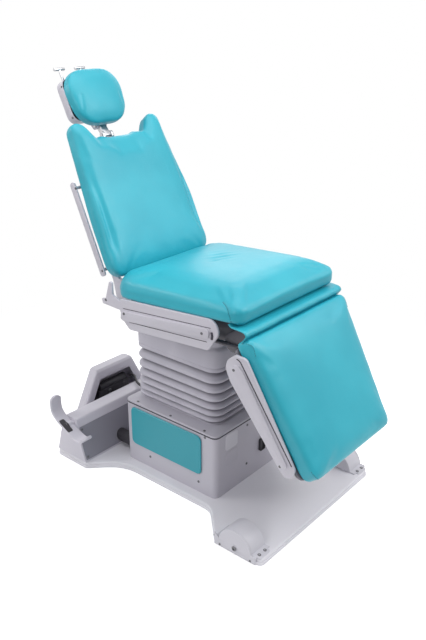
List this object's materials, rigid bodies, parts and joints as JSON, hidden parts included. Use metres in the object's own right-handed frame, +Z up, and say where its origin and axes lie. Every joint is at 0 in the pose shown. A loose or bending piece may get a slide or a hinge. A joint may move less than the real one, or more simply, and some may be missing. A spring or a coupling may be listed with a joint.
{
  "type": "ear, nose and throat treatment chair",
  "caption": "Hydraulic treatment chair: padded seat, reclining back, folding leg rest and adjustable headrest on a bellows-covered lifting column with a floor base and foot pedal.",
  "frame": {"origin": "on the floor under the middle of the lifting column", "axes": "+Z up, the patient faces -Y, +X is the patient's left"},
  "size_m": [0.7433, 1.285, 1.4744],
  "materials": {
    "vinyl": "satin vinyl",
    "panel_teal": "satin",
    "paint": "satin",
    "dark_paint": "matte",
    "steel": "brushed",
    "black_rubber": "matte",
    "bellows_rubber": "matte",
    "board": "painted ply",
    "painted_board": "painted ply"
  },
  "bodies": {
    "base": {"base_plate": "dark_paint", "base_cover": "paint", "wheel_housing_left": "paint", "wheel_housing_right": "paint", "wheel_side_plate_left": "paint", "wheel_side_plate_right": "paint", "column_box": "paint", "column_lid": "paint", "side_panel_left": "panel_teal", "side_panel_right": "panel_teal", "power_inlet": "black_rubber", "outer_guide_tube": "steel", "lift_cylinder": "dark_paint", "rear_beam": "paint", "beam_panel": "dark_paint", "rear_hood": "paint", "drive_unit": "black_rubber", "drive_hose": "black_rubber", "cable_boot": "black_rubber", "bellows": "bellows_rubber"},
    "wheel_left": {"front_wheel_left": "black_rubber"},
    "wheel_right": {"front_wheel_right": "black_rubber"},
    "pedal": {"foot_pedal": "paint"},
    "lift": {"inner_guide_tube": "steel", "lift_ram": "steel", "lift_head_plate": "dark_paint", "seat_member_left": "dark_paint", "seat_member_right": "dark_paint", "cross_tube_front": "steel", "cross_tube_rear": "steel", "seat_board": "board", "seat_cushion": "vinyl", "seat_side_guard_left": "paint", "seat_side_guard_right": "paint", "leg_hinge_shaft": "steel", "back_hinge_shaft": "steel", "apron": "vinyl", "back_drive_barrel": "dark_paint", "leg_drive_barrel": "dark_paint"},
    "back": {"back_cushion": "vinyl", "back_board": "painted_board", "back_arm_left": "dark_paint", "back_arm_right": "dark_paint", "back_rail_left": "paint", "back_rail_right": "paint", "post_guide": "dark_paint"},
    "back_rod": {"back_drive_rod": "steel"},
    "leg": {"leg_cushion": "vinyl", "leg_board": "painted_board", "leg_arm_left": "dark_paint", "leg_arm_right": "dark_paint", "leg_side_guard_left": "paint", "leg_side_guard_right": "paint"},
    "leg_rod": {"leg_drive_rod": "steel"},
    "post": {"headrest_post": "steel"},
    "neck": {"neck_link": "steel"},
    "head": {"headrest_cushion": "vinyl", "headrest_pan": "paint"},
    "knob_left": {"clamp_knob_left": "steel"},
    "knob_right": {"clamp_knob_right": "steel"}
  },
  "joints": [
    {"name": "lift", "type": "slide", "parent": "base", "child": "lift", "axis": [0, 0, 1], "range_m": [-0.24, 0], "deforming": ["bellows"]},
    {"name": "back", "type": "hinge", "parent": "lift", "child": "back", "pos_m": [0, 0.19, 0.745], "axis": [-1, 0, 0], "range_deg": [-5, 62]},
    {"name": "leg", "type": "hinge", "parent": "lift", "child": "leg", "pos_m": [0, -0.374, 0.741], "axis": [-1, 0, 0], "range_deg": [0, 52], "deforming": ["apron"]},
    {"name": "back_drive", "type": "slide", "parent": "lift", "child": "back_rod", "axis": [0, 1, 0], "range_m": [-0.083, 0.0068]},
    {"name": "leg_drive", "type": "slide", "parent": "lift", "child": "leg_rod", "axis": [0, -1, 0], "range_m": [0, 0.0703]},
    {"name": "headrest_height", "type": "slide", "parent": "back", "child": "post", "axis": [0, 0.4362, 0.8999], "range_m": [0, 0.1]},
    {"name": "neck_lower", "type": "hinge", "parent": "post", "child": "neck", "pos_m": [0, 0.46711, 1.23967], "axis": [-1, 0, 0], "range_deg": [-8, 30]},
    {"name": "neck_upper", "type": "hinge", "parent": "neck", "child": "head", "pos_m": [0, 0.50255, 1.26694], "axis": [-1, 0, 0], "range_deg": [-10, 25]},
    {"name": "knob_left_turn", "type": "hinge", "parent": "head", "child": "knob_left", "pos_m": [0.008, 0.58783, 1.42819], "axis": [0, 0.4362, 0.8999], "range_deg": [-80, 80]},
    {"name": "knob_right_turn", "type": "hinge", "parent": "head", "child": "knob_right", "pos_m": [-0.089, 0.58783, 1.42819], "axis": [0, 0.4362, 0.8999], "range_deg": [-80, 80]},
    {"name": "pedal_tilt", "type": "hinge", "parent": "base", "child": "pedal", "pos_m": [0, 0.378, 0.183], "axis": [-1, 0, 0], "range_deg": [0, 40]},
    {"name": "wheel_left_spin", "type": "hinge", "parent": "base", "child": "wheel_left", "pos_m": [0.308, -0.443, 0.026], "axis": [1, 0, 0], "continuous": true},
    {"name": "wheel_right_spin", "type": "hinge", "parent": "base", "child": "wheel_right", "pos_m": [-0.308, -0.443, 0.026], "axis": [1, 0, 0], "continuous": true}
  ],
  "couplings": [
    {"joint": "back_drive", "follows": "back", "m_per_rad": -0.0758},
    {"joint": "leg_drive", "follows": "leg", "m_per_rad": 0.0773}
  ]
}
